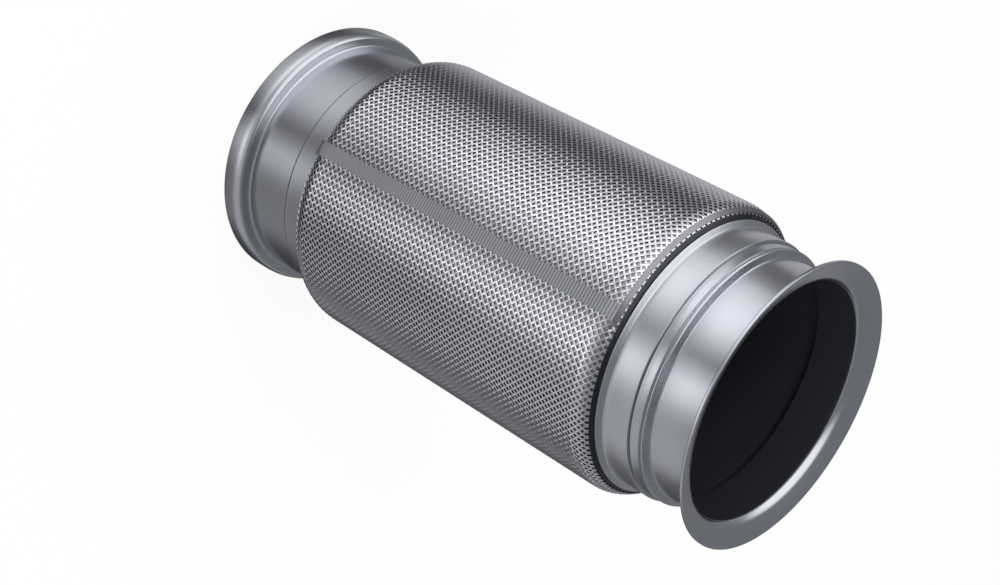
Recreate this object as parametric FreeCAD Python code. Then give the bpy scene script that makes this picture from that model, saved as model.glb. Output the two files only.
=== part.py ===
import FreeCAD, Part
import math
import os

# Flexible exhaust bellows for a five-inch line: a corrugated steel bellows in a braided wire
# sleeve, between two end tubes with clamp flanges, and a sliding liner inside.
# Millimetres, +Z up the axis. The origin is the centre of the lower flange's face, on which
# the part stands. The seam strip of the braid faces -Y.
# Outlines are lists of (radius, height) points. A pair of points in a list is an arc: it runs
# from the point before it, through the first of the pair, to the second.

# Overall
overall_height = 307.0

# End tubes
tube_radius = 63.4
tube_wall = 1.5
slip_clearance = 0.1
axial_clearance = 0.2

# Lower flange: a flare with a thick rolled rim
flange_width = 6.6
rim_land = 1.8
rim_height = 3.4
rim_bevel = 1.1
rim_seat_width = 3.2
flare_foot_width = 1.2
flare_foot_height = 8.6
flare_blend = 4.4

# Upper tube, downwards from its thin flared lip: a narrower neck, a rolled bead, a spigot
lip_angle = 20.0
lip_round = 1.9
neck_step = 5.0
neck_fall = 3.2
bead_depth = 28.0
bead_half_width = 1.6
bead_height = 0.6
spigot_depth = 64.0

# Wire braid
braid_rise = 10.2
braid_wall = 1.4
braid_dent = 0.8
shoulder_radius = 12.0
upper_shoulder_angle = 57.0
cell_count = 32
straight_row_count = 25
shoulder_row_count = 3
lay_clearance = 0.1

# Seam strip and hoop, laid on the braid
strip_width = 7.4
strip_thickness = 0.5
strip_top_angle = 26.0
strip_bottom_gap = 5.0
hoop_angle = 34.0
hoop_width = 2.0
hoop_thickness = 0.7

# Collars
lower_collar_bottom = 40.6
lower_collar_length = 17.4
lower_collar_wall = 1.0
lower_collar_to_shoulder = 8.0
lower_collar_to_tube_top = 9.0
upper_collar_depth = 35.2
upper_collar_wall = 1.6
upper_collar_to_shoulder = 26.2
collar_rim_rise = 4.6
collar_rim_land = 0.7
collar_taper = 3.6
nose_width = 1.1
nose_depth = 2.6

# Bellows
fold_count = 10
bellows_wall = 0.8
crest_clearance = 0.4
root_clearance = 0.5
cuff_length = 11.0

# Sliding liner, with a knitted wire cushion between its two sleeves
liner_wall = 0.8
upper_liner_below_bead = 4.0
liner_travel = 61.0
liner_overlap = 82.0
lower_liner_bottom = 22.0
lower_liner_cuff = 16.0
lower_liner_taper = 6.0
cushion_thickness = 2.4
cushion_length = 14.0
cushion_inset = 3.0


def polar(centre_r, centre_z, radius, angle):
    """Point in the (radius, height) plane at a distance and an angle from a centre."""
    return (centre_r + radius * math.cos(math.radians(angle)),
            centre_z + radius * math.sin(math.radians(angle)))


# Radii that follow from those above, outwards from the gas path
flange_radius = tube_radius + flange_width
tube_bore = tube_radius - tube_wall
neck_bore_radius = tube_radius - neck_step
upper_liner_radius = tube_bore - slip_clearance
cushion_radius = upper_liner_radius - liner_wall - slip_clearance
lower_liner_radius = cushion_radius - cushion_thickness - slip_clearance
collar_bore = tube_radius + slip_clearance
lower_collar_radius = collar_bore + lower_collar_wall
braid_radius = tube_radius + braid_rise
shoulder_centre = braid_radius - shoulder_radius
inner_shoulder = shoulder_radius - braid_wall

# Heights that follow, the upper end's from the top
lower_collar_top = lower_collar_bottom + lower_collar_length
lower_tube_top = lower_collar_top + lower_collar_to_tube_top
lower_shoulder = lower_collar_top + lower_collar_to_shoulder
bead_centre = overall_height - bead_depth
spigot_bottom = overall_height - spigot_depth
upper_collar_top = overall_height - upper_collar_depth
upper_shoulder = upper_collar_top - upper_collar_to_shoulder
upper_liner_top = bead_centre - upper_liner_below_bead
lower_liner_top = upper_liner_top - liner_travel
upper_liner_bottom = lower_liner_top - liner_overlap

# The braid's lower end lies on the lower collar
lower_end_reach = (lower_collar_radius + lay_clearance - shoulder_centre) / inner_shoulder
lower_shoulder_angle = math.degrees(math.acos(lower_end_reach))

# The upper collar's rim lies along the cut end of the braid
collar_rim_radius = tube_radius + collar_rim_rise
seat_angle = upper_shoulder_angle + math.degrees(lay_clearance / inner_shoulder)
rim_distance = (collar_rim_radius - shoulder_centre) / math.cos(math.radians(seat_angle))
collar_rim = polar(shoulder_centre, upper_shoulder, rim_distance, seat_angle)
collar_seat = polar(shoulder_centre, upper_shoulder, inner_shoulder, seat_angle)
nose_bottom = collar_seat[1] - nose_depth


def turned(outline, start=0.0, sweep=360.0):
    """Solid turned about Z from a closed outline, from one angle through a sweep in degrees."""
    def place(point):
        return FreeCAD.Vector(point[0], 0, point[1])
    edges = []
    here = outline[0]
    for item in outline[1:]:
        if isinstance(item[0], tuple):
            middle, end = item
            edges.append(Part.Arc(place(here), place(middle), place(end)).toShape())
            here = end
        else:
            edges.append(Part.makeLine(place(here), place(item)))
            here = item
    edges.append(Part.makeLine(place(here), place(outline[0])))
    section = Part.Face(Part.Wire(edges))
    section.rotate(FreeCAD.Vector(0, 0, 0), FreeCAD.Vector(0, 0, 1), start)
    return section.revolve(FreeCAD.Vector(0, 0, 0), FreeCAD.Vector(0, 0, 1), sweep)


def arc_to(centre_r, centre_z, radius, start, end):
    """The pair of points that continues an outline along an arc."""
    return (polar(centre_r, centre_z, radius, (start + end) / 2),
            polar(centre_r, centre_z, radius, end))


def faceted(rows):
    """Closed solid of flat facets. Each row is a ring of (radius, height) points round Z."""
    columns = len(rows[0])
    points = []
    for row in rows:
        for column, (radius, height) in enumerate(row):
            turn = 2 * math.pi * column / columns - math.pi / 2
            points.append(FreeCAD.Vector(radius * math.cos(turn), radius * math.sin(turn), height))
    facets = []
    for index in range(len(rows)):
        below = index * columns
        above = (index + 1) % len(rows) * columns
        for column in range(columns):
            beside = (column + 1) % columns
            a, b, c, d = below + column, below + beside, above + beside, above + column
            if (column + index) % 2:
                facets += [(a, b, d), (b, c, d)]
            else:
                facets += [(a, b, c), (a, c, d)]
    skin = Part.Shape()
    skin.makeShapeFromMesh((points, facets), 0.001)
    return Part.Solid(skin.Shells[0])


def clear_of(radius, columns):
    """Corner radius of a faceted ring whose flats stay outside a radius."""
    return radius / math.cos(math.pi / columns)


def lower_end_tube():
    """Tube flared at its foot, its edge rolled into the thick rim that the part stands on."""
    blend_top = flare_foot_height + flare_blend
    outline = [
        (flange_radius - rim_seat_width, 0),
        (flange_radius, 0),
        (flange_radius, rim_land),
        (flange_radius - rim_bevel, rim_height),
        (tube_radius + flare_foot_width, flare_foot_height),
        (tube_radius, blend_top),
        (tube_radius, lower_tube_top),
        (tube_bore, lower_tube_top),
        (tube_bore, flare_foot_height),
    ]
    return turned(outline)


def upper_end_tube():
    """Spigot for the bellows, a rolled bead, a narrower neck and the flared clamp lip."""
    slope = math.tan(math.radians(lip_angle))
    neck_radius = neck_bore_radius + tube_wall
    sheet_drop = tube_wall / math.cos(math.radians(lip_angle))
    round_centre = neck_bore_radius + lip_round
    round_r, round_rise = polar(round_centre, 0, lip_round, 90 + lip_angle)
    round_z = overall_height - (flange_radius - round_r) * slope - round_rise
    back_z = overall_height - sheet_drop - (flange_radius - neck_radius) * slope
    bead_start = bead_centre - bead_half_width
    bead_end = bead_centre + bead_half_width
    outline = [
        (tube_bore, spigot_bottom),
        (tube_radius, spigot_bottom),
        (tube_radius, bead_start),
        ((tube_radius + bead_height, bead_centre), (tube_radius - bead_height, bead_end)),
        (neck_radius, bead_end + neck_fall),
        (neck_radius, back_z),
        (flange_radius, overall_height - sheet_drop),
        (flange_radius, overall_height),
        polar(round_centre, round_z, lip_round, 90 + lip_angle),
        arc_to(round_centre, round_z, lip_round, 90 + lip_angle, 180),
        (neck_bore_radius, bead_centre + neck_fall),
        (tube_bore, bead_centre),
    ]
    return turned(outline)


def lower_collar():
    """Plain band welded round the lower tube, which the braid's lower end is fixed on."""
    return sleeve(lower_collar_radius, lower_collar_wall, lower_collar_bottom, lower_collar_top)


def upper_collar():
    """Band with a flared rim: the braid's upper end butts on the back of the rim."""
    collar_radius = collar_bore + upper_collar_wall
    land_top = collar_rim[1] + collar_rim_land
    outline = [
        (collar_bore, nose_bottom),
        (collar_bore + nose_width, nose_bottom),
        collar_seat,
        collar_rim,
        (collar_rim_radius, land_top),
        (collar_radius, land_top + collar_taper),
        (collar_radius, upper_collar_top),
        (collar_bore, upper_collar_top),
    ]
    return turned(outline)


def bellows():
    """Thin wall in deep U folds between two plain cuffs, which slip over the tubes' inner ends."""
    bottom = lower_collar_top + axial_clearance
    top = nose_bottom - axial_clearance
    cuff_radius = collar_bore + bellows_wall
    crest_radius = braid_radius - braid_wall - crest_clearance
    root_radius = upper_liner_radius + root_clearance + bellows_wall
    first_fold = bottom + cuff_length
    last_fold = top - cuff_length
    half_pitch = (last_fold - first_fold - bellows_wall) / (2 * fold_count - 1)
    radii = [cuff_radius] + [crest_radius, root_radius] * fold_count
    radii[-1] = cuff_radius
    outside = [(cuff_radius, bottom)]
    inside = [(collar_bore, bottom)]
    for side, (near, far) in enumerate(zip(radii, radii[1:])):
        outer = first_fold + side * half_pitch + bellows_wall * (far < near)
        inner = first_fold + side * half_pitch + bellows_wall * (far > near)
        outside += [(near, outer), (far, outer)]
        inside += [(near - bellows_wall, inner), (far - bellows_wall, inner)]
    outside.append((cuff_radius, top))
    inside.append((collar_bore, top))
    return turned(outside + inside[::-1])


def wire_braid():
    """One wall of crossing ridges: a net of diamonds, with a dent in the middle of each."""
    stations = []
    for step in range(shoulder_row_count):
        stations.append((lower_shoulder, -lower_shoulder_angle * (1 - step / shoulder_row_count)))
    for step in range(straight_row_count + 1):
        share = step / straight_row_count
        stations.append((lower_shoulder + (upper_shoulder - lower_shoulder) * share, 0))
    for step in range(1, shoulder_row_count + 1):
        stations.append((upper_shoulder, upper_shoulder_angle * step / shoulder_row_count))
    columns = 2 * cell_count
    rows = []
    for index, (height, angle) in enumerate(stations):
        ridge = polar(shoulder_centre, height, shoulder_radius, angle)
        dent = polar(shoulder_centre, height, shoulder_radius - braid_dent, angle)
        rows.append([dent if (column + index) % 2 else ridge for column in range(columns)])
    for height, angle in reversed(stations):
        if angle or height in (lower_shoulder, upper_shoulder):
            inner_r, inner_z = polar(shoulder_centre, height, inner_shoulder, angle)
            rows.append([(clear_of(inner_r, columns), inner_z)] * columns)
    return faceted(rows)


def seam_strip():
    """Flat strip that covers the seam of the braid, from its lower end to the upper shoulder."""
    near = shoulder_radius + lay_clearance
    far = near + strip_thickness
    foot = strip_bottom_gap - lower_shoulder_angle
    half_width = math.degrees(strip_width / 2 / braid_radius)
    outline = [
        polar(shoulder_centre, lower_shoulder, near, 0),
        arc_to(shoulder_centre, lower_shoulder, near, 0, foot),
        polar(shoulder_centre, lower_shoulder, far, foot),
        arc_to(shoulder_centre, lower_shoulder, far, foot, 0),
        polar(shoulder_centre, upper_shoulder, far, 0),
        arc_to(shoulder_centre, upper_shoulder, far, 0, strip_top_angle),
        polar(shoulder_centre, upper_shoulder, near, strip_top_angle),
        arc_to(shoulder_centre, upper_shoulder, near, strip_top_angle, 0),
    ]
    return turned(outline, -90 - half_width, 2 * half_width)


def braid_hoop():
    """Flat wire hoop that holds the braid down just before its upper end."""
    near = shoulder_radius + lay_clearance
    far = near + hoop_thickness
    spread = math.degrees(hoop_width / 2 / near)
    outline = [
        polar(shoulder_centre, upper_shoulder, near, hoop_angle - spread),
        polar(shoulder_centre, upper_shoulder, far, hoop_angle - spread),
        polar(shoulder_centre, upper_shoulder, far, hoop_angle + spread),
        polar(shoulder_centre, upper_shoulder, near, hoop_angle + spread),
    ]
    return turned(outline)


def sleeve(outer, wall, bottom, top):
    """Plain sleeve by its outer radius and wall."""
    return turned([(outer - wall, bottom), (outer, bottom), (outer, top), (outer - wall, top)])


def upper_liner():
    """Outer sleeve of the liner, fixed in the spigot of the upper tube."""
    return sleeve(upper_liner_radius, liner_wall, upper_liner_bottom, upper_liner_top)


def lower_liner():
    """Inner sleeve of the liner: a cuff fixed in the lower tube, then a narrower sliding part."""
    cuff_top = lower_liner_bottom + lower_liner_cuff
    taper_top = cuff_top + lower_liner_taper
    outline = [
        (upper_liner_radius - liner_wall, lower_liner_bottom),
        (upper_liner_radius, lower_liner_bottom),
        (upper_liner_radius, cuff_top),
        (lower_liner_radius, taper_top),
        (lower_liner_radius, lower_liner_top),
        (lower_liner_radius - liner_wall, lower_liner_top),
        (lower_liner_radius - liner_wall, taper_top),
        (upper_liner_radius - liner_wall, cuff_top),
    ]
    return turned(outline)


def liner_cushion():
    """Knitted wire ring that centres one sleeve of the liner in the other."""
    bottom = upper_liner_bottom + cushion_inset
    return sleeve(cushion_radius, cushion_thickness, bottom, bottom + cushion_length)


pieces = {
    "lower_end_tube": lower_end_tube,
    "upper_end_tube": upper_end_tube,
    "lower_collar": lower_collar,
    "upper_collar": upper_collar,
    "bellows": bellows,
    "wire_braid": wire_braid,
    "braid_seam_strip": seam_strip,
    "upper_braid_hoop": braid_hoop,
    "upper_liner_sleeve": upper_liner,
    "lower_liner_sleeve": lower_liner,
    "liner_cushion": liner_cushion,
}

os.makedirs("parts", exist_ok=True)
for name, make in pieces.items():
    shape = make()
    shape.exportStep("parts/" + name + ".step")
    print(name, "valid", shape.isValid(), "solids", len(shape.Solids), "mm3", round(shape.Volume))
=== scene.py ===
import bmesh
import bpy
import math
from mathutils import Matrix, Vector


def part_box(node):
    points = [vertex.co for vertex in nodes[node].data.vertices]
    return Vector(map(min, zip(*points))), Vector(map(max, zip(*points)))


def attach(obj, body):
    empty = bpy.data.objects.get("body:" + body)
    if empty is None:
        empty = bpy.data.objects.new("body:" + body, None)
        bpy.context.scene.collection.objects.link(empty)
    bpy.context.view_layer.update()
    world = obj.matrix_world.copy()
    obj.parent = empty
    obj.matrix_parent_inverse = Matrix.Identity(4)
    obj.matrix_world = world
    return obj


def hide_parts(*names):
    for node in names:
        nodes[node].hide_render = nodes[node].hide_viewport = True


# Exhaust bellows: a corrugated steel bellows in a sleeve of woven wire, between two end tubes
# with clamp flanges, and a sliding liner inside. It stands on its lower flange, its axis is Z,
# and the seam strip of the braid faces -Y.
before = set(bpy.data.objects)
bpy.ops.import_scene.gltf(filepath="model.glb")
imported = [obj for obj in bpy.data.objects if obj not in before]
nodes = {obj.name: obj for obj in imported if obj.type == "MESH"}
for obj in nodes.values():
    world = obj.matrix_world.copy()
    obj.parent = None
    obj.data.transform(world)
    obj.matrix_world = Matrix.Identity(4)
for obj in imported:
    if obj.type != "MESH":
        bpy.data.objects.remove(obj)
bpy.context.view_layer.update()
mm = 0.001

# Camera
# It looks down into the flared upper end from the seam's side, turned on its own axis so that
# the part lies across the picture, as in the photograph.
camera_place = Vector((4.0, -709.0, 645.4)) * mm
camera_aim = Vector((18.9, 0.0, 143.1)) * mm
camera_turn = 120.1
camera_data = bpy.data.cameras.new("camera")
camera_data.lens = 63.9
camera_data.sensor_width = 36.0
camera = bpy.data.objects.new("camera", camera_data)
bpy.context.collection.objects.link(camera)
aim = (camera_aim - camera_place).to_track_quat("-Z", "Y").to_matrix()
camera.matrix_world = (Matrix.Translation(camera_place)
                       @ (aim @ Matrix.Rotation(math.radians(camera_turn), 3, "Z")).to_4x4())
bpy.context.scene.camera = camera


# Lower end tube
# Sheet steel tube, flared at its foot, its edge rolled into the thick rim that the part stands
# on. A flat step runs in from the rim to the tube. Turned and polished to a cool satin.
def arc(centre_r, centre_z, radius, start, end, steps=8):
    """Points of an arc in the (radius, height) plane, its angles in degrees."""
    points = []
    for step in range(steps + 1):
        angle = math.radians(start + (end - start) * step / steps)
        points.append((centre_r + radius * math.cos(angle), centre_z + radius * math.sin(angle)))
    return points


def turned(name, outline, around=256, crease=28.0):
    """Mesh turned about Z from a closed outline of (radius, height) points in millimetres."""
    build = bmesh.new()
    rings = []
    for radius, height in outline:
        ring = []
        for step in range(around):
            angle = 2 * math.pi * step / around
            place = Vector((radius * math.cos(angle), radius * math.sin(angle), height)) * mm
            ring.append(build.verts.new(place))
        rings.append(ring)
    for near, far in zip(rings, rings[1:] + rings[:1]):
        for step in range(around):
            beside = (step + 1) % around
            build.faces.new((near[step], near[beside], far[beside], far[step]))
    bmesh.ops.recalc_face_normals(build, faces=build.faces)
    mesh = bpy.data.meshes.new(name)
    build.to_mesh(mesh)
    build.free()
    mesh.shade_smooth()
    mesh.set_sharp_from_angle(angle=math.radians(crease))
    piece = bpy.data.objects.new(name, mesh)
    bpy.context.collection.objects.link(piece)
    return piece


def satin_steel(name, shade, roughness, grain_size, grain_depth, clouding):
    """Polished steel with a fine grain and slow changes of shade and gloss over its surface."""
    material = bpy.data.materials.new(name)
    material.use_nodes = True
    tree = material.node_tree
    shader = tree.nodes["Principled BSDF"]
    shader.inputs["Metallic"].default_value = 1.0
    place = tree.nodes.new("ShaderNodeTexCoord")
    cloud = tree.nodes.new("ShaderNodeTexNoise")
    cloud.inputs["Scale"].default_value = 26.0
    cloud.inputs["Detail"].default_value = 3.0
    tree.links.new(place.outputs["Object"], cloud.inputs["Vector"])
    tone = tree.nodes.new("ShaderNodeValToRGB")
    tone.color_ramp.elements[0].position = 0.3
    tone.color_ramp.elements[0].color = [part * (1 - clouding) for part in shade] + [1.0]
    tone.color_ramp.elements[1].position = 0.7
    tone.color_ramp.elements[1].color = list(shade) + [1.0]
    tree.links.new(cloud.outputs["Fac"], tone.inputs["Fac"])
    tree.links.new(tone.outputs["Color"], shader.inputs["Base Color"])
    grain = tree.nodes.new("ShaderNodeTexNoise")
    grain.inputs["Scale"].default_value = 1.0 / (grain_size * mm)
    grain.inputs["Detail"].default_value = 2.0
    tree.links.new(place.outputs["Object"], grain.inputs["Vector"])
    gloss = tree.nodes.new("ShaderNodeMapRange")
    gloss.inputs["From Min"].default_value = 0.3
    gloss.inputs["From Max"].default_value = 0.7
    gloss.inputs["To Min"].default_value = roughness - 0.02
    gloss.inputs["To Max"].default_value = roughness + 0.02
    tree.links.new(grain.outputs["Fac"], gloss.inputs["Value"])
    tree.links.new(gloss.outputs["Result"], shader.inputs["Roughness"])
    bump = tree.nodes.new("ShaderNodeBump")
    bump.inputs["Strength"].default_value = grain_depth
    bump.inputs["Distance"].default_value = 0.05 * mm
    tree.links.new(grain.outputs["Fac"], bump.inputs["Height"])
    tree.links.new(bump.outputs["Normal"], shader.inputs["Normal"])
    return material


def mixed(tree, share, first, second):
    """Mix of two colours, each a socket or a plain colour."""
    mix = tree.nodes.new("ShaderNodeMix")
    mix.data_type = "RGBA"
    for socket, given_colour in ((mix.inputs["A"], first), (mix.inputs["B"], second)):
        if isinstance(given_colour, tuple):
            socket.default_value = given_colour
        else:
            tree.links.new(given_colour, socket)
    tree.links.new(share, mix.inputs["Factor"])
    return mix.outputs["Result"]


def across_axis(tree):
    """The piece's own coordinates, and the level way from the axis Z to a point on it."""
    place = tree.nodes.new("ShaderNodeTexCoord")
    level = tree.nodes.new("ShaderNodeVectorMath")
    level.operation = "MULTIPLY"
    level.inputs[1].default_value = (1.0, 1.0, 0.0)
    tree.links.new(place.outputs["Object"], level.inputs[0])
    return place, level.outputs["Vector"]


# Near black painted inside the bores and on the liner: painted shade inside the tubes.
bore_shade_black = (0.022, 0.023, 0.029, 1.0)
bore_shade_blur = 0.15
bore_shade_margin = 0.3


def painted_bore_shade(material, reach, wide_reach, wide_below):
    """The same steel, in painted shade near black nearer the axis than a reach, which widens below
    a height.
    """
    darkened = material.copy()
    darkened.name = material.name + "_with_bore_shade"
    tree = darkened.node_tree
    shader = tree.nodes["Principled BSDF"]
    bare_colour = shader.inputs["Base Color"].links[0].from_socket
    place, level = across_axis(tree)
    distance = tree.nodes.new("ShaderNodeVectorMath")
    distance.operation = "LENGTH"
    tree.links.new(level, distance.inputs[0])
    height = tree.nodes.new("ShaderNodeSeparateXYZ")
    tree.links.new(place.outputs["Object"], height.inputs["Vector"])
    below = tree.nodes.new("ShaderNodeMath")
    below.operation = "LESS_THAN"
    below.inputs[1].default_value = wide_below * mm
    tree.links.new(height.outputs["Z"], below.inputs[0])
    extra = tree.nodes.new("ShaderNodeMath")
    extra.operation = "MULTIPLY"
    extra.inputs[1].default_value = (wide_reach - reach) * mm
    tree.links.new(below.outputs["Value"], extra.inputs[0])
    left = tree.nodes.new("ShaderNodeMath")
    left.operation = "SUBTRACT"
    tree.links.new(distance.outputs["Value"], left.inputs[0])
    tree.links.new(extra.outputs["Value"], left.inputs[1])
    edge = tree.nodes.new("ShaderNodeMapRange")
    edge.inputs["From Min"].default_value = (reach - bore_shade_blur) * mm
    edge.inputs["From Max"].default_value = (reach + bore_shade_blur) * mm
    tree.links.new(left.outputs["Value"], edge.inputs["Value"])
    shade_mix = mixed(tree, edge.outputs["Result"], bore_shade_black, bare_colour)
    tree.links.new(shade_mix, shader.inputs["Base Color"])
    tree.links.new(edge.outputs["Result"], shader.inputs["Metallic"])
    return darkened


def finished(piece, slot, material, *replaced):
    """Gives a piece its material, its body and the solids that it stands for. The slot is not used.
    """
    piece.data.materials.clear()
    piece.data.materials.append(material)
    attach(piece, "root")
    if replaced:
        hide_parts(*replaced)


def extent(node):
    """Outer radius, lowest and highest point of a node in millimetres."""
    low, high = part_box(node)
    return high[0] / mm, low[2] / mm, high[2] / mm


tube_wall = 1.5
flange_radius, lower_bottom, lower_top = extent("lower_end_tube")
collar_radius, collar_bottom, collar_top = extent("lower_collar")
lower_collar_wall = 1.1
tube_radius = collar_radius - lower_collar_wall
tube_bore = tube_radius - tube_wall
rim_land = 6.2
rim_rise = 6.0
rim_round = 2.4
rim_round_angle = 84.0
rim_steps = 12
rim_seat = 3.2
rim_edge_round = 0.5
step_height = rim_land + rim_rise
step_margin = 0.15
hub_round = 1.5
mouth_depth = 8.6
gap_width = 0.3
gap_depth = 0.5
polished_steel = satin_steel("polished_steel", (0.60, 0.61, 0.65), 0.22, 0.4, 0.08, 0.04)
rolled_edge = []
for step in range(rim_steps + 1):
    angle = math.radians(rim_round_angle) * step / rim_steps
    rolled_edge.append((flange_radius - rim_round * (1 - math.cos(angle)),
                        rim_land + rim_rise * math.sin(angle)))
lower_tube_outline = (
    [(flange_radius - rim_seat, lower_bottom)]
    + arc(flange_radius - rim_edge_round, lower_bottom + rim_edge_round, rim_edge_round, 270, 360)
    + rolled_edge
    + [(flange_radius - rim_round - step_margin, step_height)]
    + [(tube_radius + hub_round + 0.1, step_height)]
    + arc(tube_radius + hub_round, step_height + hub_round, hub_round, 262, 180, 6)
    + [(tube_radius, step_height + hub_round + 1.0), (tube_radius, collar_bottom - gap_width)]
    + [(tube_radius - gap_depth, collar_bottom - gap_width * 0.8)]
    + [(tube_radius - gap_depth, collar_bottom + 0.3), (tube_radius, collar_bottom + 0.5)]
    + [(tube_radius, lower_top), (tube_bore, lower_top), (tube_bore, mouth_depth)]
)
lower_tube = turned("lower_tube", lower_tube_outline)
# The bore is painted near black inside: painted shade.
bore_shade_reach = tube_bore + bore_shade_margin
lower_tube_steel = painted_bore_shade(polished_steel, bore_shade_reach, bore_shade_reach, lower_top)
finished(lower_tube, "tube_steel", lower_tube_steel, "lower_end_tube")

# Upper end tube
# The tube's other end: a spigot inside the bellows, a flat weld bead round it, a small rolled
# bead, a narrower neck and the thin flared lip that the clamp pulls up.
lip_radius, spigot_bottom, lip_top = extent("upper_end_tube")
lip_angle = 20.0
lip_slope = math.tan(math.radians(lip_angle))
lip_turn = 90.0 + lip_angle
lip_edge_round = 0.35
neck_bore = tube_radius - 5.0
neck_radius = neck_bore + tube_wall
neck_root = 0.6
lip_front_round = 5.0
lip_back_round = 2.5
bead_low = 277.5
bead_high = 279.5
bead_round = 0.95
bead_sink = 0.5
neck_start = 280.6
weld_low = 271.9
weld_high = 274.6
weld_rise = 0.3
front_round_r = neck_bore + lip_front_round
front_round_lift = lip_front_round * math.sin(math.radians(lip_turn))
front_round_edge = front_round_r + lip_front_round * math.cos(math.radians(lip_turn))
front_round_z = lip_top - (lip_radius - front_round_edge) * lip_slope - front_round_lift
sheet_drop = tube_wall / math.cos(math.radians(lip_angle))
back_round_r = neck_radius + lip_back_round
back_round_edge = back_round_r + lip_back_round * math.cos(math.radians(lip_turn))
back_round_z = (lip_top - sheet_drop - (lip_radius - back_round_edge) * lip_slope
                - lip_back_round * math.sin(math.radians(lip_turn)))
upper_tube_outline = (
    [(tube_bore, spigot_bottom), (tube_radius, spigot_bottom), (tube_radius, weld_low)]
    + [(tube_radius + weld_rise, weld_low + 0.4), (tube_radius + weld_rise * 0.6, weld_high - 1.3)]
    + [(tube_radius, weld_high), (tube_radius, bead_low - 0.7)]
    + [(tube_radius - bead_sink, bead_low - 0.45), (tube_radius - 0.45, bead_low - 0.15)]
    + arc(tube_radius - 0.75, bead_low + 1.0, bead_round, -35, 80, 8)
    + [(neck_radius + 2.0, bead_high + 0.35), (neck_radius + 0.7, neck_start - 0.35)]
    + arc(neck_radius + neck_root, neck_start + 0.4, neck_root, 250, 180, 3)
    + arc(back_round_r, back_round_z, lip_back_round, 180, lip_turn)
    + arc(lip_radius - lip_edge_round, lip_top - sheet_drop + lip_edge_round, lip_edge_round,
          lip_turn - 180, 0, 4)
    + arc(lip_radius - lip_edge_round, lip_top - lip_edge_round, lip_edge_round, 0, lip_turn, 5)
    + arc(front_round_r, front_round_z, lip_front_round, lip_turn, 180, 10)
    + [(neck_bore, neck_start - neck_root), (neck_bore + neck_root, neck_start - 1.1)]
    + [(tube_bore - 0.6, bead_low + 1.4), (tube_bore, bead_low + 1.0)]
)
upper_tube = turned("upper_tube", upper_tube_outline)
# The neck's bore, and the wider bore below the bead, are painted near black: painted shade.
neck_shade_reach = neck_bore + 0.35
upper_tube_steel = painted_bore_shade(polished_steel, neck_shade_reach, bore_shade_reach, bead_low + 1.5)
finished(upper_tube, "tube_steel", upper_tube_steel, "upper_end_tube")

# Lower collar
# Plain band over the lower tube, to which the lower end of the braid is welded. Its lower edge
# is chamfered, and it flares a little where the braid begins.
collar_steel = satin_steel("collar_steel", (0.60, 0.61, 0.65), 0.26, 0.4, 0.14, 0.05)
edge_round = 0.3
band_radius = tube_radius + 0.6
band_chamfer = 0.9
band_length = 12.0
lower_collar_outline = (
    [(tube_radius + 0.2, collar_bottom), (band_radius, collar_bottom + band_chamfer)]
    + [(band_radius, collar_bottom + band_chamfer + 0.15)]
    + [(band_radius, collar_bottom + band_length)]
    + [(band_radius + 0.05, collar_bottom + band_length + 1.0)]
    + [(collar_radius, collar_bottom + band_length + 3.5)]
    + arc(collar_radius - edge_round, collar_top - edge_round, edge_round, 0, 90, 4)
    + [(tube_radius + 0.1, collar_top), (tube_radius + 0.1, collar_bottom)]
)
lower_collar = turned("lower_band", lower_collar_outline)
finished(lower_collar, "collar_steel", collar_steel, "lower_collar")

# Upper collar
# Band over the upper tube. Its flat rim covers the cut upper end of the braid and runs through a
# fillet into the sleeve, which is blasted to a slightly coarser grain than the tubes.
rim_radius, nose_bottom, sleeve_top = extent("upper_collar")
sleeve_radius = tube_radius + 1.5
sleeve_bore = tube_radius + 0.1
braid_radius, braid_bottom, braid_top = extent("wire_braid")
rim_edge = 0.35
rim_chamfer = 0.4
nose_width = 1.2
grained_steel = satin_steel("grained_steel", (0.62, 0.63, 0.67), 0.26, 0.45, 0.3, 0.06)
upper_collar_outline = (
    [(sleeve_bore, nose_bottom), (sleeve_bore + nose_width, nose_bottom)]
    + [(sleeve_bore + nose_width, braid_top - 1.4), (rim_radius - 1.2, braid_top - 0.3)]
    + arc(rim_radius - rim_edge, braid_top + rim_edge, rim_edge, -60, 0, 4)
    + [(rim_radius, braid_top + 0.5), (rim_radius - rim_chamfer, braid_top + 0.5 + rim_chamfer)]
    + [(sleeve_radius + 0.9, braid_top + 1.6), (sleeve_radius + 0.5, braid_top + 2.0)]
    + [(sleeve_radius + 0.3, braid_top + 2.5), (sleeve_radius + 0.12, braid_top + 3.4)]
    + [(sleeve_radius, braid_top + 5.4)]
    + arc(sleeve_radius - edge_round, sleeve_top - edge_round, edge_round, 0, 90, 4)
    + [(sleeve_bore, sleeve_top)]
)
upper_collar = turned("upper_band", upper_collar_outline)
finished(upper_collar, "collar_steel", grained_steel, "upper_collar")

# Wire braid
# A sleeve of bright drawn wires, laid both ways round at about 45 degrees, each over one and
# under the next. It closes in round a shoulder at each end, onto the collars.
wires_each_way = 132
crossings = 122
wire_foot = 1.0
wire_top = 0.84
wire_height = 0.36
wire_weave = 0.16
wire_end = crossings - 1.5
shoulder_radius = 12.0
shoulder_centre = braid_radius - shoulder_radius
lower_shoulder = 66.0
upper_shoulder = 245.6
lower_angle = math.degrees(math.asin((lower_shoulder - braid_bottom) / shoulder_radius))
upper_angle = math.degrees(math.asin((braid_top - upper_shoulder) / shoulder_radius))
lower_turn = math.radians(lower_angle) * shoulder_radius
straight = upper_shoulder - lower_shoulder
upper_turn = math.radians(upper_angle) * shoulder_radius
braid_length = lower_turn + straight + upper_turn


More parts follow.
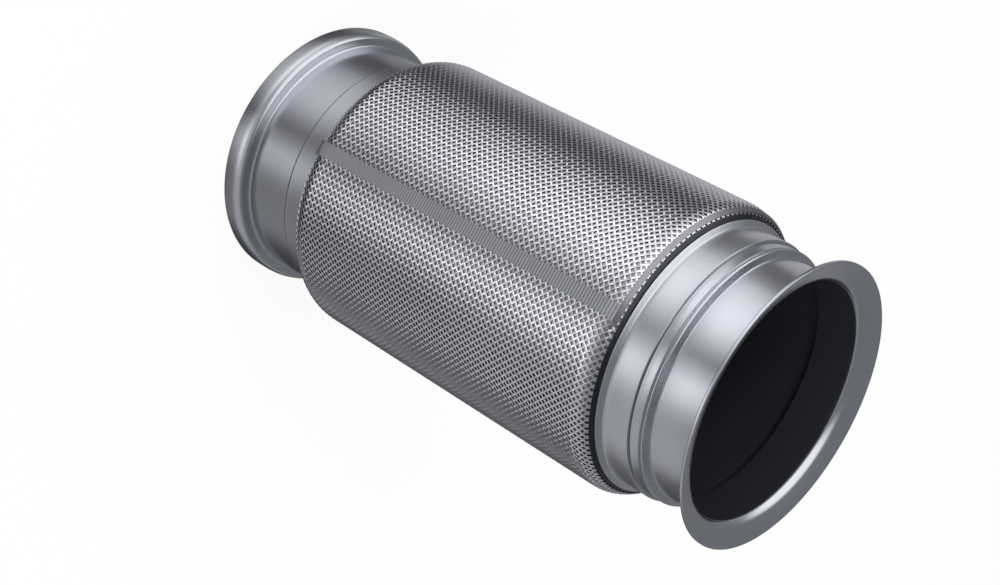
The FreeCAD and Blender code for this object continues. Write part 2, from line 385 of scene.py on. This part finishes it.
def on_braid(along, depth):
    """Radius and height at a length along the braid's outline and a depth under it."""
    reach = shoulder_radius - depth
    if along < lower_turn:
        angle = (along - lower_turn) / shoulder_radius
        return (shoulder_centre + reach * math.cos(angle), lower_shoulder + reach * math.sin(angle))
    if along < lower_turn + straight:
        return (shoulder_centre + reach, lower_shoulder + along - lower_turn)
    angle = (along - lower_turn - straight) / shoulder_radius
    return (shoulder_centre + reach * math.cos(angle), upper_shoulder + reach * math.sin(angle))


def facing(along):
    """Tilt in radians, up from level, in which the braid faces at a length along its outline."""
    if along < lower_turn:
        return (along - lower_turn) / shoulder_radius
    return max(0.0, along - lower_turn - straight) / shoulder_radius


def painted_side_shade(material, low, high, dark):
    """Painted shade: darkens a steel on faces that turn away from straight out, between two shares
    of facing.
    """
    tree = material.node_tree
    shader = tree.nodes["Principled BSDF"]
    bare_colour = shader.inputs["Base Color"].links[0].from_socket
    place, level = across_axis(tree)
    out = tree.nodes.new("ShaderNodeVectorMath")
    out.operation = "NORMALIZE"
    tree.links.new(level, out.inputs[0])
    share = tree.nodes.new("ShaderNodeVectorMath")
    share.operation = "DOT_PRODUCT"
    tree.links.new(out.outputs["Vector"], share.inputs[0])
    tree.links.new(place.outputs["Normal"], share.inputs[1])
    edge = tree.nodes.new("ShaderNodeMapRange")
    edge.inputs["From Min"].default_value = low
    edge.inputs["From Max"].default_value = high
    tree.links.new(share.outputs["Value"], edge.inputs["Value"])
    shade = mixed(tree, edge.outputs["Result"], dark, bare_colour)
    tree.links.new(shade, shader.inputs["Base Color"])


def path_object(name, places, outward):
    """Mesh of one line of edges through places in millimetres, with the way out at each."""
    mesh = bpy.data.meshes.new(name)
    edges = [(index, index + 1) for index in range(len(places) - 1)]
    mesh.from_pydata([Vector(place) * mm for place in places], edges, [])
    ways = mesh.attributes.new("outward", "FLOAT_VECTOR", "POINT")
    for item, way in zip(ways.data, outward):
        item.vector = way
    path = bpy.data.objects.new(name, mesh)
    bpy.context.collection.objects.link(path)
    return path


def new_tree(name, sizes):
    """Geometry Nodes tree with named sizes, a material and a geometry going in and out."""
    tree = bpy.data.node_groups.new(name, "GeometryNodeTree")
    tree.interface.new_socket("Geometry", in_out="INPUT", socket_type="NodeSocketGeometry")
    for label, kind in sizes:
        tree.interface.new_socket(label, in_out="INPUT", socket_type="NodeSocket" + kind)
    tree.interface.new_socket("Material", in_out="INPUT", socket_type="NodeSocketMaterial")
    tree.interface.new_socket("Geometry", in_out="OUTPUT", socket_type="NodeSocketGeometry")
    return tree, tree.nodes.new("NodeGroupInput"), tree.nodes.new("NodeGroupOutput")


def end_of_tree(tree, given, result, instances, rounded=True):
    """Realized instances, shaded smooth if rounded, with the tree's material."""
    realized = tree.nodes.new("GeometryNodeRealizeInstances")
    smooth = tree.nodes.new("GeometryNodeSetShadeSmooth")
    smooth.inputs["Shade Smooth"].default_value = rounded
    coated = tree.nodes.new("GeometryNodeSetMaterial")
    tree.links.new(instances, realized.inputs["Geometry"])
    tree.links.new(realized.outputs["Geometry"], smooth.inputs["Geometry"])
    tree.links.new(smooth.outputs["Geometry"], coated.inputs["Geometry"])
    tree.links.new(given.outputs["Material"], coated.inputs["Material"])
    tree.links.new(coated.outputs["Geometry"], result.inputs["Geometry"])


def grown(path, name, tree, values):
    """Plain mesh object of what a tree makes of a path, and the path is removed."""
    modifier = path.modifiers.new(tree.name, "NODES")
    modifier.node_group = tree
    for item in tree.interface.items_tree:
        if item.in_out == "INPUT" and item.name in values:
            modifier[item.identifier] = values[item.name]
    worked_out = bpy.context.evaluated_depsgraph_get()
    mesh = bpy.data.meshes.new_from_object(path.evaluated_get(worked_out))
    mesh.name = name
    piece = bpy.data.objects.new(name, mesh)
    bpy.context.collection.objects.link(piece)
    bpy.data.objects.remove(path)
    return piece


wire_tree, given, result = new_tree("laid_wires", [("Count", "Int"), ("Height", "Float"),
                                                   ("Foot Width", "Float"),
                                                   ("Top Width", "Float")])
section = wire_tree.nodes.new("GeometryNodeCurvePrimitiveQuadrilateral")
section.mode = "TRAPEZOID"
section.inputs["Offset"].default_value = 0.0
top_out = wire_tree.nodes.new("GeometryNodeTransform")
top_out.inputs["Rotation"].default_value = (0.0, 0.0, -math.pi / 2)
wire_tree.links.new(given.outputs["Height"], section.inputs["Height"])
wire_tree.links.new(given.outputs["Foot Width"], section.inputs["Bottom Width"])
wire_tree.links.new(given.outputs["Top Width"], section.inputs["Top Width"])
wire_tree.links.new(section.outputs["Curve"], top_out.inputs["Geometry"])
line = wire_tree.nodes.new("GeometryNodeMeshToCurve")
upright = wire_tree.nodes.new("GeometryNodeSetCurveNormal")
upright.mode = "FREE"
outward = wire_tree.nodes.new("GeometryNodeInputNamedAttribute")
outward.data_type = "FLOAT_VECTOR"
outward.inputs["Name"].default_value = "outward"
thick = wire_tree.nodes.new("GeometryNodeCurveToMesh")
thick.inputs["Fill Caps"].default_value = True
centres = wire_tree.nodes.new("GeometryNodePoints")
laid = wire_tree.nodes.new("GeometryNodeInstanceOnPoints")
number = wire_tree.nodes.new("GeometryNodeInputIndex")
share = wire_tree.nodes.new("ShaderNodeMath")
share.operation = "DIVIDE"
turn = wire_tree.nodes.new("ShaderNodeMath")
turn.operation = "MULTIPLY"
turn.inputs[1].default_value = 2 * math.pi
about_axis = wire_tree.nodes.new("ShaderNodeCombineXYZ")
wire_tree.links.new(given.outputs["Geometry"], line.inputs["Mesh"])
wire_tree.links.new(line.outputs["Curve"], upright.inputs["Curve"])
wire_tree.links.new(outward.outputs["Attribute"], upright.inputs["Normal"])
wire_tree.links.new(upright.outputs["Curve"], thick.inputs["Curve"])
wire_tree.links.new(top_out.outputs["Geometry"], thick.inputs["Profile Curve"])
wire_tree.links.new(given.outputs["Count"], centres.inputs["Count"])
wire_tree.links.new(centres.outputs["Points"], laid.inputs["Points"])
wire_tree.links.new(thick.outputs["Mesh"], laid.inputs["Instance"])
wire_tree.links.new(number.outputs["Index"], share.inputs[0])
wire_tree.links.new(given.outputs["Count"], share.inputs[1])
wire_tree.links.new(share.outputs["Value"], turn.inputs[0])
wire_tree.links.new(turn.outputs["Value"], about_axis.inputs["Z"])
wire_tree.links.new(about_axis.outputs["Vector"], laid.inputs["Rotation"])
end_of_tree(wire_tree, given, result, laid.outputs["Instances"], rounded=False)

bright_wire = satin_steel("bright_wire", (0.9, 0.9, 0.93), 0.2, 0.9, 0.06, 0.08)
# The wires' flanks, which face away from straight out, are painted darker: painted shade.
wire_flank_shade = (0.32, 0.32, 0.34, 1.0)
painted_side_shade(bright_wire, 0.5, 0.68, wire_flank_shade)
for name, hand in (("right_hand_wires", 1), ("left_hand_wires", -1)):
    places = []
    ways_out = []
    for crossing in [*range(int(wire_end) + 1), wire_end]:
        over = 1 if crossing == wire_end or (crossing % 2 == 0) == (hand == 1) else -1
        depth = wire_height / 2 + wire_weave * (1 - over) / 2
        radius, height = on_braid(braid_length * crossing / crossings, depth)
        angle = hand * crossing * math.pi / wires_each_way - math.pi / 2
        tilt = facing(braid_length * crossing / crossings)
        places.append((radius * math.cos(angle), radius * math.sin(angle), height))
        ways_out.append((math.cos(tilt) * math.cos(angle), math.cos(tilt) * math.sin(angle),
                         math.sin(tilt)))
    path = path_object(name + "_path", places, ways_out)
    values = {"Count": wires_each_way, "Height": wire_height * mm, "Foot Width": wire_foot * mm,
              "Top Width": wire_top * mm, "Material": bright_wire}
    wires = grown(path, name, wire_tree, values)
    finished(wires, "braid_wire", bright_wire, "wire_braid")

# Shade ply under the braid
# The sleeve's inner side as one thin wall close under the outer wires. Its darker steel is painted
# shade, seen dark in the diamonds between the outer wires.
ply_depth = 0.64
ply_wall = 0.35
ply_steps = 120
shaded_wire = satin_steel("shaded_wire", (0.44, 0.44, 0.47), 0.3, 0.6, 0.2, 0.15)
# The ply is painted darker still where it turns in at the shoulders: painted shade in the troughs.
ply_turn_shade = (0.06, 0.06, 0.07, 1.0)
painted_side_shade(shaded_wire, 0.66, 0.86, ply_turn_shade)
ply_length = braid_length + 0.5
ply_face = [on_braid(ply_length * step / ply_steps, ply_depth) for step in range(ply_steps + 1)]
ply_back = [on_braid(ply_length * step / ply_steps, ply_depth + ply_wall)
            for step in range(ply_steps + 1)]
shade_ply = turned("braid_shade_ply", ply_face + ply_back[::-1])
finished(shade_ply, "braid_wire", shaded_wire, "wire_braid")

# Seam strip
# A ribbed steel strip, laid along the braid where its sheet of wires is joined. Fine ribs cross
# it side by side on a thin band.
strip_width = 7.4
strip_foot = math.radians(5.0) * shoulder_radius
strip_end = lower_turn + straight + math.radians(26.0) * shoulder_radius
rib_spacing = 1.62
rib_radius = 1.0
rib_flatness = 0.5
strip_rise = 0.55
strip_tree, given, result = new_tree("ribs_on_a_line", [("Spacing", "Float"), ("Radius", "Float"),
                                                        ("Sides", "Int"), ("Oval", "Vector"),
                                                        ("Half Width", "Vector")])
line = strip_tree.nodes.new("GeometryNodeMeshToCurve")
spaced = strip_tree.nodes.new("GeometryNodeResampleCurve")
spaced.mode = "LENGTH"
rib_line = strip_tree.nodes.new("GeometryNodeCurvePrimitiveLine")
other_side = strip_tree.nodes.new("ShaderNodeVectorMath")
other_side.operation = "SCALE"
other_side.inputs["Scale"].default_value = -1.0
section = strip_tree.nodes.new("GeometryNodeCurvePrimitiveCircle")
pressed = strip_tree.nodes.new("GeometryNodeTransform")
rib = strip_tree.nodes.new("GeometryNodeCurveToMesh")
rib.inputs["Fill Caps"].default_value = True
laid = strip_tree.nodes.new("GeometryNodeInstanceOnPoints")
strip_tree.links.new(given.outputs["Geometry"], line.inputs["Mesh"])
strip_tree.links.new(line.outputs["Curve"], spaced.inputs["Curve"])
strip_tree.links.new(given.outputs["Spacing"], spaced.inputs["Length"])
strip_tree.links.new(given.outputs["Half Width"], rib_line.inputs["End"])
strip_tree.links.new(given.outputs["Half Width"], other_side.inputs[0])
strip_tree.links.new(other_side.outputs["Vector"], rib_line.inputs["Start"])
strip_tree.links.new(rib_line.outputs["Curve"], rib.inputs["Curve"])
strip_tree.links.new(given.outputs["Radius"], section.inputs["Radius"])
strip_tree.links.new(given.outputs["Sides"], section.inputs["Resolution"])
strip_tree.links.new(section.outputs["Curve"], pressed.inputs["Geometry"])
strip_tree.links.new(given.outputs["Oval"], pressed.inputs["Scale"])
strip_tree.links.new(pressed.outputs["Geometry"], rib.inputs["Profile Curve"])
strip_tree.links.new(spaced.outputs["Curve"], laid.inputs["Points"])
strip_tree.links.new(rib.outputs["Mesh"], laid.inputs["Instance"])
end_of_tree(strip_tree, given, result, laid.outputs["Instances"])

strip_steel = satin_steel("strip_steel", (0.56, 0.57, 0.60), 0.32, 0.5, 0.15, 0.05)
strip_path = []
path_steps = 200
for step in range(path_steps + 1):
    along = strip_foot + (strip_end - strip_foot) * step / path_steps
    radius, height = on_braid(along, rib_radius * rib_flatness - strip_rise)
    strip_path.append((0.0, -radius, height))
values = {"Spacing": rib_spacing * mm, "Radius": rib_radius * mm, "Sides": 12,
          "Oval": (rib_flatness, 1.0, 1.0), "Half Width": (strip_width / 2 * mm, 0.0, 0.0),
          "Material": strip_steel}
seam_path = path_object("seam_path", strip_path, [(0.0, -1.0, 0.0)] * len(strip_path))
seam_ribs = grown(seam_path, "seam_strip_ribs", strip_tree, values)
finished(seam_ribs, "strip_steel", strip_steel, "braid_seam_strip")

# Hoop
# A flat ring of wire that holds the braid down on its upper shoulder, before the collar's rim.
# It dips under the mesh on one side, as the photograph shows, and comes out again behind.
hoop_angle = 36.5
hoop_width = 2.7
hoop_rise = 0.7
hoop_foot = -0.3
hoop_edge = 0.5
hoop_sink = 2.0
sink_from = math.radians(-4.0)
sink_to = math.radians(20.0)
back_from = math.radians(170.0)
back_to = math.radians(190.0)
hoop_section = [(-1.0, hoop_foot), (-0.95, hoop_edge), (-0.85, hoop_rise), (0.85, hoop_rise),
                (0.95, hoop_edge), (1.0, hoop_foot)]


def held(value):
    """Value held between 0 and 1."""
    return min(max(value, 0.0), 1.0)


hoop_outline = []
for side, rise in hoop_section:
    along = lower_turn + straight + math.radians(hoop_angle) * shoulder_radius
    hoop_outline.append(on_braid(along + side * hoop_width / 2, -rise))
hoop = turned("shoulder_hoop", hoop_outline, crease=25.0)
for vertex in hoop.data.vertices:
    round_to = math.atan2(vertex.co.x, -vertex.co.y)
    if round_to < back_to - 2 * math.pi:
        round_to += 2 * math.pi
    under = held((round_to - sink_from) / (sink_to - sink_from))
    under *= held((back_to - round_to) / (back_to - back_from))
    inward = Vector((-vertex.co.x, -vertex.co.y, 0.0)).normalized()
    tilt = math.radians(hoop_angle)
    vertex.co += (inward * math.cos(tilt) - Vector((0, 0, math.sin(tilt)))) * hoop_sink * under * mm
hoop_steel = satin_steel("hoop_steel", (0.31, 0.31, 0.33), 0.34, 0.5, 0.15, 0.05)
finished(hoop, "strip_steel", hoop_steel, "upper_braid_hoop")

# Bellows, liner and cushion
# The corrugated sheet bellows lies hidden under the braid. The two sleeves of the liner slide in
# each other and show in the open ends, near black in painted shade, with a knitted cushion between
# them.
bellows_steel = satin_steel("bellows_steel", (0.52, 0.52, 0.54), 0.3, 0.6, 0.2, 0.08)
# The liner is painted near black all over: painted shade inside the tubes.
liner_steel = satin_steel("liner_steel", bore_shade_black[:3], 0.36, 0.6, 0.05, 0.1)
liner_steel.node_tree.nodes["Principled BSDF"].inputs["Metallic"].default_value = 0.0
cushion_wire = satin_steel("cushion_wire", (0.35, 0.35, 0.37), 0.5, 0.4, 0.9, 0.3)
finishes = {"bellows": bellows_steel, "upper_liner_sleeve": liner_steel,
            "lower_liner_sleeve": liner_steel, "liner_cushion": cushion_wire}
for node, material in finishes.items():
    nodes[node].data.materials.clear()
    nodes[node].data.materials.append(material)

# Studio
# A plain white floor and a white room. What polished metal sees of the floor and of the room is
# a ring of soft panels and greys between them, worked out from the direction alone.
panels = [(0, 0.5), (12, 0.48), (22, 0.33), (34, 0.15), (50, 0.1), (68, 0.07), (78, 0.35),
          (88, 0.42), (95, 0.2), (103, 0.22), (113, 0.5), (142, 0.5), (155, 0.18), (168, 0.2),
          (180, 0.35), (193, 0.95), (206, 1.25), (222, 1.5), (236, 1.45), (248, 1.1), (258, 0.65),
          (269, 0.32), (280, 0.75), (293, 1.35), (305, 1.1), (318, 0.6), (330, 0.46), (345, 0.5),
          (360, 0.5)]
horizon = [(0, 0.42), (40, 0.34), (65, 0.25), (86, 0.3), (94, 0.2), (112, 0.22), (150, 0.28),
           (185, 0.4), (205, 0.55), (235, 0.6), (262, 0.42), (285, 0.55), (305, 0.55), (335, 0.45),
           (360, 0.42)]
ceiling_grey = (0.21, 0.215, 0.235, 1.0)
soft_box_white = (1.35, 1.36, 1.4, 1.0)
soft_box_way = (-0.68, -0.38, 0.63)
room_white = (0.8, 0.8, 0.82, 1.0)
plain_white = (1.0, 1.0, 1.0, 1.0)


def ring_of_light(tree, turn, levels):
    """Soft light by the compass: a ramp whose stops are at headings in degrees."""
    ramp = tree.nodes.new("ShaderNodeValToRGB")
    ramp.color_ramp.interpolation = "EASE"
    for degrees, level in levels[1:-1]:
        ramp.color_ramp.elements.new(degrees / 360.0)
    for stop, (degrees, level) in zip(ramp.color_ramp.elements, levels):
        stop.color = (level * 0.985, level * 0.99, level * 1.03, 1.0)
    tree.links.new(turn, ramp.inputs["Fac"])
    return ramp.outputs["Color"]


def between(tree, value, low, high):
    """Soft step of a value from 0 at the low mark to 1 at the high one."""
    step = tree.nodes.new("ShaderNodeMapRange")
    step.interpolation_type = "SMOOTHSTEP"
    step.inputs["From Min"].default_value = low
    step.inputs["From Max"].default_value = high
    tree.links.new(value, step.inputs["Value"])
    return step.outputs["Result"]


world = bpy.data.worlds.new("white_room")
bpy.context.scene.world = world
world.use_nodes = True
tree = world.node_tree
tree.nodes.clear()
place = tree.nodes.new("ShaderNodeTexCoord")
direction = tree.nodes.new("ShaderNodeSeparateXYZ")
tree.links.new(place.outputs["Generated"], direction.inputs["Vector"])
heading = tree.nodes.new("ShaderNodeMath")
heading.operation = "ARCTAN2"
tree.links.new(direction.outputs["Y"], heading.inputs[0])
tree.links.new(direction.outputs["X"], heading.inputs[1])
share_of_turn = tree.nodes.new("ShaderNodeMath")
share_of_turn.operation = "DIVIDE"
share_of_turn.inputs[1].default_value = 2 * math.pi
tree.links.new(heading.outputs["Value"], share_of_turn.inputs[0])
wrapped = tree.nodes.new("ShaderNodeMath")
wrapped.operation = "FRACT"
tree.links.new(share_of_turn.outputs["Value"], wrapped.inputs[0])
turn = wrapped.outputs["Value"]
rise = direction.outputs["Z"]
dark_below = tree.nodes.new("ShaderNodeVectorMath")
dark_below.operation = "SCALE"
dim = tree.nodes.new("ShaderNodeMapRange")
dim.inputs["From Min"].default_value = -0.86
dim.inputs["From Max"].default_value = -0.46
dim.inputs["To Min"].default_value = 0.12
dim.inputs["To Max"].default_value = 1.0
tree.links.new(rise, dim.inputs["Value"])
tree.links.new(ring_of_light(tree, turn, panels), dark_below.inputs[0])
tree.links.new(dim.outputs["Result"], dark_below.inputs["Scale"])
low_part = mixed(tree, between(tree, rise, -0.38, -0.2), dark_below.outputs["Vector"],
                 ring_of_light(tree, turn, horizon))
under_ceiling = mixed(tree, between(tree, rise, 0.05, 0.4), low_part, ceiling_grey)
towards_box = tree.nodes.new("ShaderNodeVectorMath")
towards_box.operation = "DOT_PRODUCT"
towards_box.inputs[1].default_value = soft_box_way
tree.links.new(place.outputs["Generated"], towards_box.inputs[0])
seen_by_metal = mixed(tree, between(tree, towards_box.outputs["Value"], 0.53, 0.87), under_ceiling,
                      soft_box_white)
ray = tree.nodes.new("ShaderNodeLightPath")
room = mixed(tree, ray.outputs["Is Glossy Ray"], room_white, seen_by_metal)
either = tree.nodes.new("ShaderNodeMath")
either.operation = "MAXIMUM"
tree.links.new(ray.outputs["Is Camera Ray"], either.inputs[0])
tree.links.new(ray.outputs["Is Transmission Ray"], either.inputs[1])
background = tree.nodes.new("ShaderNodeBackground")
world_out = tree.nodes.new("ShaderNodeOutputWorld")
tree.links.new(mixed(tree, either.outputs["Value"], room, plain_white),
               background.inputs["Color"])
tree.links.new(background.outputs["Background"], world_out.inputs["Surface"])

floor_size = 4.0
floor_mesh = bpy.data.meshes.new("floor")
corners = [(-floor_size, -floor_size, 0), (floor_size, -floor_size, 0),
           (floor_size, floor_size, 0), (-floor_size, floor_size, 0)]
floor_mesh.from_pydata(corners, [], [(0, 1, 2, 3)])
floor = bpy.data.objects.new("floor", floor_mesh)
bpy.context.collection.objects.link(floor)
floor_paint = bpy.data.materials.new("white_floor")
floor_paint.use_nodes = True
tree = floor_paint.node_tree
tree.nodes.clear()
ray = tree.nodes.new("ShaderNodeLightPath")
paint = tree.nodes.new("ShaderNodeBsdfDiffuse")
paint.inputs["Color"].default_value = (0.93, 0.93, 0.93, 1.0)
clear = tree.nodes.new("ShaderNodeBsdfTransparent")
white = tree.nodes.new("ShaderNodeEmission")
white.inputs["Strength"].default_value = 1.0
plain = tree.nodes.new("ShaderNodeMixShader")
camera_share = tree.nodes.new("ShaderNodeMath")
camera_share.operation = "MULTIPLY"
camera_share.inputs[1].default_value = 0.88
shown = tree.nodes.new("ShaderNodeMixShader")
floor_out = tree.nodes.new("ShaderNodeOutputMaterial")
tree.links.new(ray.outputs["Is Camera Ray"], camera_share.inputs[0])
tree.links.new(camera_share.outputs["Value"], plain.inputs["Fac"])
tree.links.new(paint.outputs["BSDF"], plain.inputs[1])
tree.links.new(white.outputs["Emission"], plain.inputs[2])
tree.links.new(ray.outputs["Is Glossy Ray"], shown.inputs["Fac"])
tree.links.new(plain.outputs["Shader"], shown.inputs[1])
tree.links.new(clear.outputs["BSDF"], shown.inputs[2])
tree.links.new(shown.outputs["Shader"], floor_out.inputs["Surface"])
floor_mesh.materials.append(floor_paint)

lamps = [("key_lamp", (-0.9, -1.2, 1.5), 1.2, 14.0), ("fill_lamp", (1.3, -0.5, 1.3), 1.0, 7.0)]
for name, lamp_place, size, power in lamps:
    lamp = bpy.data.lights.new(name, "AREA")
    lamp.size = size
    lamp.energy = power
    lamp_object = bpy.data.objects.new(name, lamp)
    lamp_object.location = lamp_place
    lamp_object.visible_glossy = False
    towards = Vector((0.0, 0.0, 0.15)) - Vector(lamp_place)
    lamp_object.rotation_euler = towards.to_track_quat("-Z", "Y").to_euler()
    bpy.context.collection.objects.link(lamp_object)

bpy.context.scene.view_settings.view_transform = "Standard"
